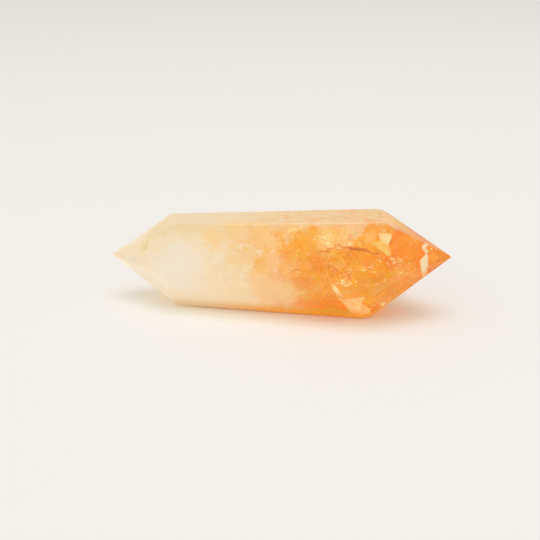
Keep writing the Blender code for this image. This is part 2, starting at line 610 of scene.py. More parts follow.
# %% [markdown]
# ## The veil on top, partly painted sheen
#
# The top facet is paler than the side below it. That is partly the real reflection, which the shader makes,
# and
# partly painted sheen: the veil, a milky cream colour on the top facet, stands for the pale reflection that a
# top facet shows at a grazing angle, and its tone is set for the light that falls on the top. It is not a coat
# of anything, so its border is frayed and it has thin places. The facet rises a little along the crystal, and
# so the height at which the veil begins is measured along that slope.

# %% Shape the top veil
TOP_SLOPE = 0.07
VEIL_START = 17.6 * MM
VEIL_FULL = 21.3 * MM
VEIL_FRAY = 3 * MM
VEIL_HOLES = (0.22, 0.50)  # from the noise where it has a hole to where it is whole
VEIL_MILK = 0.85


def top_sheen_veil(tree, place):
    """How much of the veil there is: most on the top facet and 0 below it."""
    along, _, height = axes_of(tree, place)
    height = math_node(tree, "SUBTRACT", height, times(tree, along, TOP_SLOPE))
    uneven = around_zero(tree, noise_at(tree, place, size=2.2 * MM, detail=4.0, offset=0.25))
    height = moved_by(tree, height, uneven, VEIL_FRAY)
    thickness = noise_at(tree, place, size=4 * MM, detail=5.0, roughness=0.65, offset=0.8)
    thickness = ramp_between(tree, thickness, *VEIL_HOLES)
    cover = times(tree, ramp_between(tree, height, VEIL_START, VEIL_FULL), thickness)
    return times(tree, cover, VEIL_MILK)


print("the veil is full", round(VEIL_FULL / MM, 1), "mm up, at the middle of the crystal")

# %% [markdown]
# ## How milky the stone is
#
# Milky quartz is full of tiny bubbles. A mask says how milky each place is: mostly a ramp along the crystal,
# nearly all milk almost up to the middle, and then quickly less. To that come the low side and the foot, made
# milkier so that the glow lightens them where they face the shaded paper, which is painted light, the painted
# sheen of the top veil, and every patch with its own amount. That takes many nodes, so it is a group, which
# leaves a single node in the material of the stone.

# %% Build the milkiness
# Each stop is (place along the crystal, how milky).
MILK_STOPS = ((0.36, 1.0), (0.46, 0.85), (0.53, 0.45), (0.60, 0.20), (0.82, 0.10))
MILK_CLOUDS = ((12 * MM, 26 * MM, 0.0), (3.0 * MM, 14 * MM, 0.05))
# More milk low down and at the foot is painted light: it brings the glow to sides that face the shaded paper.
LOW_SIDE_GLOW_MILK = 0.15
FOOT_GLOW_MILK = 0.85


def grey(value):
    return (value, value, value, 1)


def build_milkiness():
    tree, _, output = new_group("milkiness", [], [("Milk", "NodeSocketFloat")])
    place = own_space(tree)
    stops = [(position, grey(amount)) for position, amount in MILK_STOPS]
    milk = ramp_through(tree, along_crystal(tree, place, MILK_CLOUDS), stops)
    _, _, height = axes_of(tree, place)
    low = ramp_between(tree, height, LOW_SIDE_TOP, LOW_SIDE_FLOOR)
    milk = mixed(tree, times(tree, low, LOW_SIDE_GLOW_MILK), milk, grey(1.0))
    milk = mixed(tree, ramp_between(tree, height, FOOT_TOP, 0.0), milk, grey(FOOT_GLOW_MILK))
    milk = mixed(tree, top_sheen_veil(tree, place), milk, grey(1.0))
    for centre, size, raggedness, _, amount in PATCHES:
        milk = mixed(tree, patch_mask(tree, centre, size, raggedness), milk, grey(amount))
    feed(tree, milk, output.inputs["Milk"])
    return tree


milkiness = build_milkiness()
print("group:", milkiness.name, "with", len(milkiness.nodes), "nodes")

# %% [markdown]
# ## Clouds, wisps and specks
#
# The ground colour goes from cream through honey to full orange. On it lie two finer effects. Wisps are pale
# threads, where rows of bubbles healed an old crack, and they are everywhere. Specks are small spots of
# stronger orange, only in the warm half, where there is more iron. Noise above a threshold makes either one:
# the higher the threshold, the fewer there are.

# %% Mix the ground colour
# Each stop is (place along the crystal, colour).
COLOUR_STOPS = (
    (0.0, (0.92, 0.75, 0.50, 1)),
    (0.30, (0.92, 0.73, 0.47, 1)),
    (0.42, (0.92, 0.69, 0.39, 1)),
    (0.51, (0.92, 0.62, 0.28, 1)),
    (0.57, (0.92, 0.57, 0.17, 1)),
    (0.64, (0.92, 0.51, 0.05, 1)),
    (0.85, (0.92, 0.40, 0.01, 1)),
)
COLOUR_CLOUDS = ((8 * MM, 22 * MM, 0.11), (2.2 * MM, 16 * MM, 0.31))
WISP_COLOUR = (0.96, 0.84, 0.64, 1)
WISP_RANGE = (0.50, 0.66)  # of the noise, from where a wisp starts to where it is full
WISP_STRENGTH = 0.6
SPECK_COLOUR = (0.94, 0.52, 0.12, 1)
SPECK_RANGE = (0.66, 0.74)


def ground_colour(tree, place):
    colour = ramp_through(tree, along_crystal(tree, place, COLOUR_CLOUDS), COLOUR_STOPS)
    wisps = noise_at(tree, place, size=1.6 * MM, detail=6.0, roughness=0.7, offset=0.6)
    wisps = times(tree, ramp_between(tree, wisps, *WISP_RANGE), WISP_STRENGTH)
    colour = mixed(tree, wisps, colour, WISP_COLOUR)
    specks = noise_at(tree, place, size=0.9 * MM, detail=2.0, offset=0.9)
    specks = times(tree, ramp_between(tree, specks, *SPECK_RANGE), warm_half(tree, place))
    return mixed(tree, specks, colour, SPECK_COLOUR)


print("the ground colour has", len(COLOUR_STOPS), "stops")

# %% [markdown]
# ## The veil, the foot and the contact rim: painted sheen, light and shade
#
# The veil is cream, with deeper clouds in the warm half. At the foot the colour is painted darker and warmer:
# painted shade in the milky half, where little light reaches the stone near the paper, and in the warm half a
# painted orange for the light that comes up from the paper through the stone. And where the crystal nearly
# touches the paper, hardly any light gets in, which leaves a thin dark rim along the bottom edge. The lamps
# alone could make it, but the soft glow that stands for light inside the stone would wash it out, so it is a
# painted shade. It fades away before the milky tip, which rises off the paper.

# %% Colour the veil, the foot and the rim
# The veil's colour is painted sheen, set for the light that falls on the top facet.
TOP_SHEEN_COLOUR = (0.86, 0.65, 0.36, 1)
VEIL_DEEP = (0.88, 0.55, 0.22, 1)
VEIL_DEEP_RANGE = (0.42, 0.62)
# The foot colours are painted: shade at the milky foot and orange light at the warm foot.
FOOT_COLOUR = (1.0, 0.38, 0.02, 1)
MILKY_FOOT_SHADE = (0.76, 0.58, 0.36, 1)
WARM_FOOT_FROM = -24 * MM
WARM_FOOT_TO = 6 * MM
# The rim colours are painted shade, where the stone nearly touches the paper.
RIM_COLOUR = (0.38, 0.24, 0.11, 1)
WARM_RIM_COLOUR = (0.56, 0.24, 0.03, 1)
# Heights at which the rim starts, is full, is still full and ends.
RIM_HEIGHTS = (0.03 * MM, 0.12 * MM, 0.22 * MM, 0.55 * MM)
RIM_FADES_OUT = -24 * MM
RIM_FADES_IN = -16 * MM


# Lays the painted sheen of the top facet over the colour.
def with_top_sheen_veil(tree, place, colour):
    clouds = noise_at(tree, place, size=3.5 * MM, detail=5.0, roughness=0.65, offset=0.45)
    deep = times(tree, ramp_between(tree, clouds, *VEIL_DEEP_RANGE), warm_half(tree, place))
    return mixed(tree, top_sheen_veil(tree, place), colour, mixed(tree, deep, TOP_SHEEN_COLOUR, VEIL_DEEP))


# Painted shade at the milky foot and painted orange light at the warm foot.
def with_foot_shade_and_glow(tree, place, colour):
    along, _, height = axes_of(tree, place)
    warmth = ramp_between(tree, along, WARM_FOOT_FROM, WARM_FOOT_TO)
    foot_shade_and_glow = mixed(tree, warmth, MILKY_FOOT_SHADE, FOOT_COLOUR)
    return mixed(tree, ramp_between(tree, height, FOOT_TOP, 0.0), colour, foot_shade_and_glow)


def with_contact_rim(tree, place, colour):
    along, _, height = axes_of(tree, place)
    start, full, still_full, end = RIM_HEIGHTS
    rim = times(tree, ramp_between(tree, height, start, full), ramp_between(tree, height, end, still_full))
    rim = times(tree, rim, ramp_between(tree, along, RIM_FADES_OUT, RIM_FADES_IN))
    rim_colour = mixed(tree, warm_half(tree, place), RIM_COLOUR, WARM_RIM_COLOUR)
    return mixed(tree, rim, colour, rim_colour)


print("the dark rim ends", round(RIM_HEIGHTS[-1] / MM, 2), "mm above the paper")

# %% [markdown]
# ## The citrine's own colour
#
# All of these are laid over each other in one group, like glazes: the ground colour first, then the veil, the
# foot, the patches, and the contact rim last, since nothing on the stone is darker.

# %% Build the citrine colour
def build_citrine_colour():
    tree, _, output = new_group("citrine colour", [], [("Colour", "NodeSocketColor")])
    place = own_space(tree)
    colour = ground_colour(tree, place)
    colour = with_top_sheen_veil(tree, place, colour)
    colour = with_foot_shade_and_glow(tree, place, colour)
    for centre, size, raggedness, tint, _ in PATCHES:
        colour = mixed(tree, patch_mask(tree, centre, size, raggedness), colour, tint)
    colour = with_contact_rim(tree, place, colour)
    feed(tree, colour, output.inputs["Colour"])
    return tree


citrine_colour = build_citrine_colour()
print("group:", citrine_colour.name, "with", len(citrine_colour.nodes), "nodes")

# %% [markdown]
# ## Shadow rays
#
# Light from the lamps has to reach what lies inside the stone, and some of it has to cross the stone and
# soften the shadow. Real caustics would take very many samples. A common way around that is to let shadow
# rays pass straight through the surface with a tint, while every other ray meets the real glass. The tint
# says how much of the light gets through.

# %% Let the lamps in
def let_lamps_through(tree, surface, tint):
    """Shadow rays pass the surface with this tint, so that lamps light what lies behind it."""
    open_way = tree.nodes.new("ShaderNodeBsdfTransparent")
    feed(tree, tint, open_way.inputs["Color"])
    for_shadows = tree.nodes.new("ShaderNodeLightPath").outputs["Is Shadow Ray"]
    return mixed_shader(tree, for_shadows, surface, open_way.outputs["BSDF"])


THROUGH_CLEAR = (0.38, 0.50, 0.36, 1)
THROUGH_MILK = (0.42, 0.47, 0.46, 1)
print("clear quartz lets", THROUGH_CLEAR[:3], "of red, green and blue through")

# %% [markdown]
# ## The quartz
#
# Clear quartz is glass-like: it lets light through, bends it by its index of refraction, 1.544, and swallows
# blue and green on the way, which is what makes it orange. Milky quartz scatters light just under the
# surface. So the material mixes two shaders by the milkiness mask: a clear one, and one with subsurface
# scattering. Light that wanders through milky stone for a long way comes out evenly, all around. Tracing it
# would be slow, so part of the milky colour is given as a soft glow, and the same part is taken away from
# the colour that the lamps light. The absorption inside is even through the whole stone.

# %% Make the quartz
QUARTZ_IOR = 1.544
ABSORBED = (0.999, 0.87, 0.05, 1)
ABSORPTION_DENSITY = 210
GLOW_SHARE = 0.48
BLACK = grey(0)
WHITE = grey(1)


def make_quartz():
    material, tree, clear = new_material("citrine quartz")
    set_up(clear, Base_Color=WHITE, Roughness=0.04, IOR=QUARTZ_IOR, Transmission_Weight=1.0)

    milky = tree.nodes.new("ShaderNodeBsdfPrincipled")
    set_up(milky, Roughness=0.12, IOR=QUARTZ_IOR, Emission_Strength=GLOW_SHARE)
    set_up(milky, Subsurface_Weight=0.3, Subsurface_Radius=(1.0, 0.55, 0.3), Subsurface_Scale=1.5 * MM)
    colour = place_group(tree, citrine_colour)
    feed(tree, mixed(tree, GLOW_SHARE, colour, BLACK), milky.inputs["Base Color"])
    feed(tree, colour, milky.inputs["Emission Color"])

    milk = place_group(tree, milkiness)
    stone = mixed_shader(tree, milk, clear.outputs["BSDF"], milky.outputs["BSDF"])
    stone = let_lamps_through(tree, stone, mixed(tree, milk, THROUGH_CLEAR, THROUGH_MILK))
    output = tree.nodes["Material Output"]
    feed(tree, stone, output.inputs["Surface"])

    absorption = tree.nodes.new("ShaderNodeVolumeAbsorption")
    set_up(absorption, Color=ABSORBED, Density=ABSORPTION_DENSITY)
    feed(tree, absorption.outputs["Volume"], output.inputs["Volume"])
    return material


skin.data.materials.append(make_quartz())
print("the skin is", skin.data.materials[0].name)

# %% [markdown]
# ## Where the inside of the crystal is
#
# Cracks and clouds belong inside the stone and may not stick out of it. The crystal bulges outwards
# everywhere, so how deep a point lies is simply its distance to the nearest of the flat facets, and a point
# outside has a negative depth.

# %% Measure depth under the facets
SMALLEST_FACET = 2 * MM * MM
AXIS_HEIGHT = 10.6 * MM
AXIS_SLOPE = 0.035
FACES_OUTWARD = 0.05  # least slant of a facet that a line from the axis can meet
facets = [
    (face.center.copy(), face.normal.copy())
    for face in solid.data.polygons
    if face.area > SMALLEST_FACET
]


def depth_inside(point):
    return min((centre - point).dot(normal) for centre, normal in facets)


def shallowest(piece):
    """The least depth of the piece's points, in millimetres."""
    return round(min(depth_inside(vertex.co) for vertex in piece.data.vertices) / MM, 2)


def axis_at(x):
    """The point on the crystal's axis that far along. The axis rises a little towards the clear tip."""
    return Vector((x, 0, AXIS_HEIGHT + AXIS_SLOPE * x))


def point_under(start, direction, depth):
    """Where a line from start, that way, comes to that depth under the facets."""
    ways = []
    for centre, normal in facets:
        slant = direction.dot(normal)
        if slant > FACES_OUTWARD:
            ways.append(((centre - start).dot(normal) - depth) / slant)
    return start + direction * min(ways)


print(len(facets), "facet triangles, and the axis lies", round(depth_inside(axis_at(0)) / MM, 1), "mm deep")

# %% [markdown]
# ## The shattered mass
#
# Most of the clear end is not empty glass. It is a mass of healed and open cracks, whose broken faces lie at
# every angle and send the light back before it has gone far. Hundreds of separate planes could stand for
# them, but they would cross one another and cost many bounces. Seen through the polished skin they make one
# rugged surface a few millimetres down, of small flat chips, so it can be one closed mesh: a tube around the
# crystal's axis whose depth under the facets changes from chip to chip. Towards the clear end the chips have
# small splinters on them. The tube stops short of the tip, which is really clear.

# %% Shape the chips
CHIP_TILT = 1.6
CHIP_SEED = 17.3
MIDDLE_OF_RANDOM = Vector((0.5, 0.5, 0.5))


def chip_height(point, size):
    """From about -1 to 1: flat chips of that size, each tilted and raised its own way."""
    place = point / size
    _, corners = noise.voronoi(place)
    own = noise.cell_vector(corners[0] * CHIP_SEED) - MIDDLE_OF_RANDOM
    return own.dot(place - corners[0]) * CHIP_TILT + own.x


heights = [chip_height(Vector((step, 0, 0)), 1) for step in range(100)]
print("chip heights run from", round(min(heights), 2), "to", round(max(heights), 2))

# %% [markdown]
# ## The tube of chips
#
# A tube is a row of rings, each joined to the next by four-sided faces. Every ring closes towards the axis at
# both ends of the tube, by a curve that stays wide for most of its length and then rounds off, like the
# outline of a blunt egg. Low down it reaches further into the tip, and lies deeper, so that the clear foot
# stays open.

# %% Make the shattered mass
MASS_START = -18 * MM
MASS_END = 27 * MM
MASS_END_LOW = 36 * MM
MASS_DEPTH = 1.9 * MM
CHIP_SIZE = 4.0 * MM
CHIP_DEPTH = 1.2 * MM
CHIP_SHALLOWEST = -0.9
SPLINTER_SIZE = 0.3 * CHIP_SIZE
SPLINTER_DEPTH = 0.6  # times the depth of a chip
SPLINTERS_PATCH = 5 * MM
SPLINTERS_SHARE = 0.25  # a higher one leaves fewer chips plain
SPLINTERS_START = 3 * MM
SPLINTERS_GROW = 9 * MM
DEEPER_BELOW = 5 * MM
LOW_FROM = 0.6  # of a direction's way down, where straight down is 1
BLUNTNESS = 5
RING_POINTS = 220
RING_STEPS = 190


def ruggedness(surface):
    """How deep the chips and splinters lie at that place, in chip depths."""
    splintered = max(0, noise.noise(surface / SPLINTERS_PATCH) + SPLINTERS_SHARE)
    splintered *= min(1, max(0, (surface.x - SPLINTERS_START) / SPLINTERS_GROW))
    splinters = SPLINTER_DEPTH * splintered * chip_height(surface, SPLINTER_SIZE)
    return max(CHIP_SHALLOWEST, chip_height(surface, CHIP_SIZE) + splinters)


def mass_point(share, angle):
    """The point that share of the way along the tube, at that angle around its axis."""
    direction = Vector((0, math.cos(angle), math.sin(angle)))
    end = MASS_END + (MASS_END_LOW - MASS_END) * max(0, -direction.z)
    axis = axis_at(MASS_START + share * (end - MASS_START))
    surface = point_under(axis, direction, MASS_DEPTH)
    depth = MASS_DEPTH + CHIP_DEPTH * ruggedness(surface) + DEEPER_BELOW * max(0, -direction.z - LOW_FROM)
    closing = (1 - abs(2 * share - 1) ** BLUNTNESS) ** 0.5
    return axis.lerp(point_under(axis, direction, depth), closing)


def make_shattered_mass():
    mesh = bmesh.new()
    angles = [2 * math.pi * turn / RING_POINTS for turn in range(RING_POINTS)]
    rings = []
    for step in range(RING_STEPS + 1):
        rings.append([mesh.verts.new(mass_point(step / RING_STEPS, angle)) for angle in angles])
    for first, second in zip(rings, rings[1:]):
        for turn in range(RING_POINTS):
            after = (turn + 1) % RING_POINTS
            mesh.faces.new((first[turn], first[after], second[after], second[turn]))
    bmesh.ops.remove_doubles(mesh, verts=mesh.verts, dist=SAME_PLACE)
    bmesh.ops.recalc_face_normals(mesh, faces=mesh.faces)
    return to_object("shattered_mass", mesh)


mass = make_shattered_mass()
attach(mass, "root")
print("shattered mass:", len(mass.data.polygons), "faces")

# %% [markdown]
# ## Hair cracks
#
# Fine cracks cross the mass as thin curved lines, bright where they catch the light and dark where they turn
# it away. They could be modelled as wires, but there are far too many. Noise has a handy property: the places
# where it passes its middle value form thin curved lines already. A second noise leaves gaps in them.

# %% Draw the hair cracks
VEIN_GAP_SIZE = 2.0 * MM
VEIN_GAP_RANGE = (0.50, 0.60)
VEIN_CORE = 0.4  # times the width of a vein


def vein(tree, place, size, width, offset):
    """1 along thin curved lines, which are where the noise passes its middle value, and 0 elsewhere."""
    wander = around_zero(tree, noise_at(tree, place, size, detail=4.0, roughness=0.6, offset=offset))
    line = ramp_between(tree, math_node(tree, "ABSOLUTE", wander, 0.0), width, width * VEIN_CORE)
    gaps = noise_at(tree, place, VEIN_GAP_SIZE, offset=offset + 0.37)
    return times(tree, line, ramp_between(tree, gaps, *VEIN_GAP_RANGE))


print("the gaps in the hair cracks are about", VEIN_GAP_SIZE / MM, "mm long")

# %% [markdown]
# ## The colours of the mass
#
# Some chips look orange, since their light has crossed more stone, and others look yellow or cream. Which
# ones do follows no rule, so two noises, one for clouds and one for grain, pick a colour from a ramp. The
# soft patches come back here with their own places: deep orange along the dark arc of a crack, and cream and
# yellow haze around the splintered parts near the shoulder.

# %% Build the chip colour
# Each stop is (tone, colour).
CHIP_STOPS = (
    (0.36, (0.99, 0.47, 0.010, 1)),
    (0.45, (0.99, 0.55, 0.018, 1)),
    (0.53, (1.0, 0.62, 0.035, 1)),
    (0.62, (1.0, 0.71, 0.09, 1)),
    (0.72, (1.0, 0.82, 0.26, 1)),
)
GRAIN_SHARE = 0.24
DARK_ORANGE = (0.94, 0.30, 0.006, 1)
FULL_ORANGE = (0.95, 0.46, 0.03, 1)
CREAM = (0.96, 0.82, 0.50, 1)
YELLOW_HAZE = (1.0, 0.78, 0.20, 1)
BRIGHT_VEIN = (1.0, 0.92, 0.70, 1)
DARK_VEIN = (0.94, 0.40, 0.02, 1)
# Each patch is (centre in millimetres, size in millimetres, raggedness, colour).
INNER_PATCHES = (
    ((12.0, -8.4, 14.2), 4.5, 2.0, FULL_ORANGE),
    ((13.5, -5.9, 2.8), 7.0, 1.5, FULL_ORANGE),
    ((14.8, -6.8, 17.0), 1.6, 3.0, DARK_ORANGE),
    ((18.0, -7.2, 16.6), 1.6, 3.0, DARK_ORANGE),
    ((21.9, -8.7, 15.2), 2.6, 3.0, DARK_ORANGE),
    ((8.9, -10.3, 10.4), 2.0, 3.0, FULL_ORANGE),
    ((17.9, -10.4, 11.2), 1.4, 3.0, DARK_ORANGE),
    ((12.6, -6.2, 18.6), 4.4, 2.5, CREAM),
    ((17.3, -6.4, 18.8), 3.0, 2.5, CREAM),
    ((4.2, -4.8, 19.4), 2.6, 3.0, CREAM),
    ((21.6, -7.0, 18.0), 4.6, 2.0, YELLOW_HAZE),
    ((28.8, -7.0, 11.6), 3.4, 2.5, YELLOW_HAZE),
    ((17.3, -8.5, 6.8), 2.4, 3.0, CREAM),
)


def build_chip_colour():
    tree, _, output = new_group("chip colour", [], [("Colour", "NodeSocketColor")])
    place = own_space(tree)
    clouds = noise_at(tree, place, size=5 * MM, detail=2.0, offset=0.4)
    grain = noise_at(tree, place, size=1.6 * MM, detail=4.0, roughness=0.6, offset=0.7)
    tone = moved_by(tree, times(tree, clouds, 1 - GRAIN_SHARE), grain, GRAIN_SHARE)
    colour = ramp_through(tree, tone, CHIP_STOPS)
    for centre, size, raggedness, tint in INNER_PATCHES:
        colour = mixed(tree, patch_mask(tree, centre, size, raggedness), colour, tint)
    dark = vein(tree, place, size=3.5 * MM, width=0.006, offset=0.15)
    bright = vein(tree, place, size=2.6 * MM, width=0.010, offset=0.55)
    colour = mixed(tree, bright, mixed(tree, dark, colour, DARK_VEIN), BRIGHT_VEIN)
    feed(tree, colour, output.inputs["Colour"])
    return tree


chip_colour = build_chip_colour()
print("group:", chip_colour.name, "with", len(INNER_PATCHES), "patches")

# %% [markdown]
# ## Shattered quartz
#
# Each broken face is a smooth little mirror inside quartz, but together they scatter light like a cloud. So
# the mass is not glass: it is a soft solid with much subsurface scattering, which lets orange light bleed
# from chip to chip. A faint orange glow again stands for the light that has come the longest way.

# %% Make the shattered quartz
MASS_GLOW = 0.12
LONG_WAY_COLOUR = (1.0, 0.42, 0.03, 1)


def make_shattered_quartz():
    material, tree, surface = new_material("shattered quartz")
    set_up(surface, Roughness=0.25, Emission_Color=LONG_WAY_COLOUR, Emission_Strength=MASS_GLOW)
    set_up(surface, Subsurface_Weight=0.6, Subsurface_Radius=(1.0, 0.5, 0.2), Subsurface_Scale=2 * MM)
    feed(tree, place_group(tree, chip_colour), surface.inputs["Base Color"])
    return material


mass.data.materials.append(make_shattered_quartz())
print("the mass is", mass.data.materials[0].name)

# %% [markdown]
# ## Sheets for the faces of cracks
#
# Some cracks are large and flat enough to be seen one by one. A crack is a gap with almost no width, and it
# shows because its face mirrors the light. A thin sheet with a ragged rim can stand for it. A few listed
# points give its outline. The sheet is cut finely, waved a little, frayed along its rim, pushed in
# wherever it comes too close to a facet, and made thick by a Solidify modifier, so that it is closed.

# %% Write the helpers for sheets
LEAST_DEPTH = 0.3 * MM
SHEET_THICKNESS = 0.06 * MM
SHEET_STEP = 0.45 * MM
SHEET_WAVE_SIZE = 2 * MM
FRAY_SIZE = 0.7 * MM
FRAY = 0.12 * MM


def pushed_inside(point, least):
    """The point, moved straight in from any facet that it is too close to."""
    for centre, normal in facets:
        short = least - (centre - point).dot(normal)
        if short > 0:
            point = point - normal * short
    return point


def sheet(outline, wave, seed):
    """A sheet over the outline, in millimetres, that waves by that much and has an uneven rim."""
    mesh = bmesh.new()
    corners = [mesh.verts.new(Vector(corner) * MM) for corner in outline]
    face = mesh.faces.new(corners)
    mesh.normal_update()
    facing = face.normal.copy()
    bmesh.ops.triangulate(mesh, faces=mesh.faces)
    cut_finer(mesh, SHEET_STEP, rounds=6)
    for vertex in mesh.verts:
        vertex.co += facing * wave * noise.noise(vertex.co / SHEET_WAVE_SIZE + Vector((seed, 0, 0)))
        if vertex.is_boundary:
            vertex.co += noise.noise_vector(vertex.co / FRAY_SIZE + Vector((0, seed, 0))) * FRAY
        vertex.co = pushed_inside(vertex.co, LEAST_DEPTH)
    return mesh


def thicken(piece, thickness, offset):
    solidify = piece.modifiers.new("thickness", "SOLIDIFY")
    solidify.thickness = thickness
    solidify.offset = offset


def add_cracks(name, sheets, material):
    """One piece of all the sheets, each made thick, in that material. It stays with the crystal."""
    whole = bmesh.new()
    for part in sheets:
        data = bpy.data.meshes.new("one sheet")
        part.to_mesh(data)
        whole.from_mesh(data)
        bpy.data.meshes.remove(data)
        part.free()
    for face in whole.faces:
        face.smooth = True
    piece = to_object(name, whole)
    thicken(piece, SHEET_THICKNESS, offset=0)
    piece.data.materials.append(material)
    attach(piece, "root")
    print(name, "has", len(piece.data.polygons), "faces, from", shallowest(piece), "mm deep")


print("a crack's face keeps", round(LEAST_DEPTH / MM, 1), "mm under the facets")

# %% [markdown]
# ## What the face of a crack looks like
#
# The face of a crack is mottled: pale where the gap is widest, and warm where it has nearly closed. So its
# colour is two tones in small uneven clouds. Each kind of crack has its own two tones, while the mottling is
# the same, and that makes it a group. A faint glow keeps the faces bright, as they mirror more light than
# reaches them here through the quartz.

# %% Build the mottle and the finish of a crack
MOTTLE_RANGE = (0.40, 0.62)


def build_mottle():
    """Two tones in uneven small clouds, for the faces of cracks."""
    tree, given, output = new_group(
        "mottle",
        [("Pale", (1.0, 0.9, 0.7, 1.0)), ("Warm", (1.0, 0.6, 0.2, 1.0)), ("Size", 1.0 * MM)],
        [("Colour", "NodeSocketColor")],
    )
    scale = math_node(tree, "DIVIDE", 1.0, given.outputs["Size"])
    clouds = noise_of(tree, own_space(tree), scale, detail=3, roughness=0.5)
    share = ramp_between(tree, clouds, *MOTTLE_RANGE)
    feed(tree, mixed(tree, share, given.outputs["Pale"], given.outputs["Warm"]), output.inputs["Colour"])
    return tree


mottle = build_mottle()


def make_crack_face(name, pale, warm, size, roughness=0.4, glow=0.15, shine=0.5):
    material, tree, surface = new_material(name)
    set_up(surface, Roughness=roughness, Specular_IOR_Level=shine, Emission_Strength=glow)
    colour = place_group(tree, mottle, Pale=pale, Warm=warm, Size=size)
    feed(tree, colour, surface.inputs["Base Color"])
    feed(tree, colour, surface.inputs["Emission Color"])
    return material


print("group:", mottle.name)

# %% [markdown]
# ## Bright and yellow faces near the shoulder
#
# Close to the clear shoulder one crack comes up near the facets. Its upper part faces the light and is a
# bright cream plane. Below it a yellow plane continues, and a few chips of the same kind lie scattered
# towards the tip and down at the foot. The two parts differ in tone, so they are two pieces.

# %% Add the bright and yellow faces
BRIGHT_PLANE = (
    (24.2, -7.0, 20.7), (25.7, -6.4, 20.7), (27.2, -5.5, 20.4), (27.0, -6.2, 19.4), (26.5, -6.9, 18.5),
    (25.6, -7.8, 18.2), (24.8, -7.8, 19.3),
)
YELLOW_CHIPS = (
    ((27.2, -8.1, 15.4), (27.9, -7.6, 15.4), (28.0, -7.7, 15.1), (27.3, -8.2, 15.1)),
    ((28.4, -6.9, 15.3), (29.7, -6.2, 14.9), (29.5, -6.8, 14.1), (28.6, -7.3, 14.1)),
    ((27.5, -8.5, 14.3), (28.3, -7.8, 14.5), (28.4, -7.8, 14.3), (27.6, -8.5, 14.0)),
    ((29.1, -8.5, 12.2), (29.9, -7.7, 12.5), (30.1, -7.7, 12.2), (29.3, -8.4, 11.9)),
    ((24.9, -6.6, 4.3), (26.0, -5.4, 4.2), (25.8, -5.3, 3.5), (25.1, -5.1, 2.7)),
)
YELLOW_PLANE = (
    (24.7, -7.6, 19.2), (26.5, -6.8, 18.5), (26.8, -7.3, 17.0), (27.1, -7.7, 16.0), (26.3, -8.3, 15.9),
    (25.4, -8.5, 16.8), (24.2, -8.7, 17.5), (23.4, -8.0, 18.6),
)
bright_sheets = [sheet(BRIGHT_PLANE, wave=0.2 * MM, seed=1)]
bright_sheets += [sheet(chip, wave=0.1 * MM, seed=8) for chip in YELLOW_CHIPS]
add_cracks(
    "bright_crack_faces",
    bright_sheets,
    make_crack_face(
        "bright crack face", pale=(1.0, 0.88, 0.54, 1), warm=(1.0, 0.78, 0.32, 1), size=2.0 * MM, glow=0.2
    ),
)
add_cracks(
    "yellow_crack_face",
    [sheet(YELLOW_PLANE, wave=0.3 * MM, seed=9)],
    make_crack_face(
        "yellow crack face", pale=(1.0, 0.79, 0.30, 1), warm=(1.0, 0.68, 0.18, 1), size=1.2 * MM, glow=0.2
    ),
)

# %% [markdown]
# ## The pale face low down and the cream chips
#
# Low in front a pale crack runs from the side of the crystal down to its foot, narrow at the top and wide at
# the bottom. A crack breaks in steps, so small cream chips lie along its upper end and in the splintered
# parts above.

# %% Add the pale face and the cream chips
PALE_PLANE = (
    (15.0, -10.9, 8.3), (16.8, -9.1, 5.3), (17.4, -9.3, 5.8), (21.8, -10.2, 6.9), (21.2, -8.8, 4.7),
    (22.9, -7.7, 3.3), (22.6, -6.9, 2.0), (20.4, -6.3, 0.8), (18.2, -7.1, 2.0), (16.5, -8.8, 4.9),
)
CREAM_CHIPS = (
    (
        (14.6, -11.8, 9.4), (15.2, -12.0, 9.8), (16.1, -11.3, 8.5), (16.7, -10.0, 6.5), (15.7, -10.3, 7.0),
        (14.8, -11.1, 8.3),
    ),
    ((17.2, -12.2, 9.9), (18.5, -12.5, 10.3), (18.8, -12.1, 9.8), (17.6, -11.9, 9.4)),
    ((3.2, -6.5, 19.8), (4.3, -6.2, 20.4), (5.8, -6.2, 20.4), (5.7, -6.5, 20.0), (4.4, -6.5, 19.9)),
    ((17.5, -8.2, 18.3), (18.0, -8.1, 18.5), (18.7, -8.3, 18.2), (18.4, -8.5, 17.8), (17.6, -8.4, 17.9)),
)
add_cracks(
    "pale_crack_faces",
    [sheet(PALE_PLANE, wave=0.2 * MM, seed=2)],
    make_crack_face(
        "pale crack face", pale=(1.0, 0.80, 0.50, 1), warm=(1.0, 0.66, 0.30, 1), size=1.5 * MM, glow=0.25
    ),
)
add_cracks(
    "cream_chips",
    [sheet(chip, wave=0.1 * MM, seed=7) for chip in CREAM_CHIPS],
    make_crack_face(
        "cream chip", pale=(1.0, 0.90, 0.62, 1), warm=(1.0, 0.72, 0.34, 1), size=0.9 * MM, glow=0.3
    ),
)

# %% [markdown]
# ## The face that closes the window
#
# The clear tip is a window into the stone. What is seen through it is not the far side, but a large orange
# crack that runs across the crystal behind it. With nothing there, the paper would show through the tip and
# make it much too pale. It is waved more than the others, so that the light on it changes softly.

# %% Add the window's face
WINDOW_PLANE = (
    (25.5, -2.4, 21.6), (30.0, -0.8, 19.6), (36.6, -0.6, 16.2), (37.0, -0.6, 13.8), (34.5, -1.8, 11.2),
    (31.0, -4.2, 10.0), (29.0, -5.0, 13.0), (26.2, -5.6, 15.2),
)
add_cracks(
    "window_crack_face",
    [sheet(WINDOW_PLANE, wave=0.8 * MM, seed=3)],
    make_crack_face(
        "orange crack face", pale=(1.0, 0.50, 0.06, 1), warm=(0.98, 0.38, 0.02, 1), size=4.0 * MM
    ),
)

# %% [markdown]
# ## The crack across the tip
#
# A single crack cuts across the clear tip. It faces along the crystal, so from the side it is seen nearly
# edge on, as a cream band just under the facets. One rim of the band is fairly smooth, and the other runs
# zigzag at the top, where the crack broke in steps.

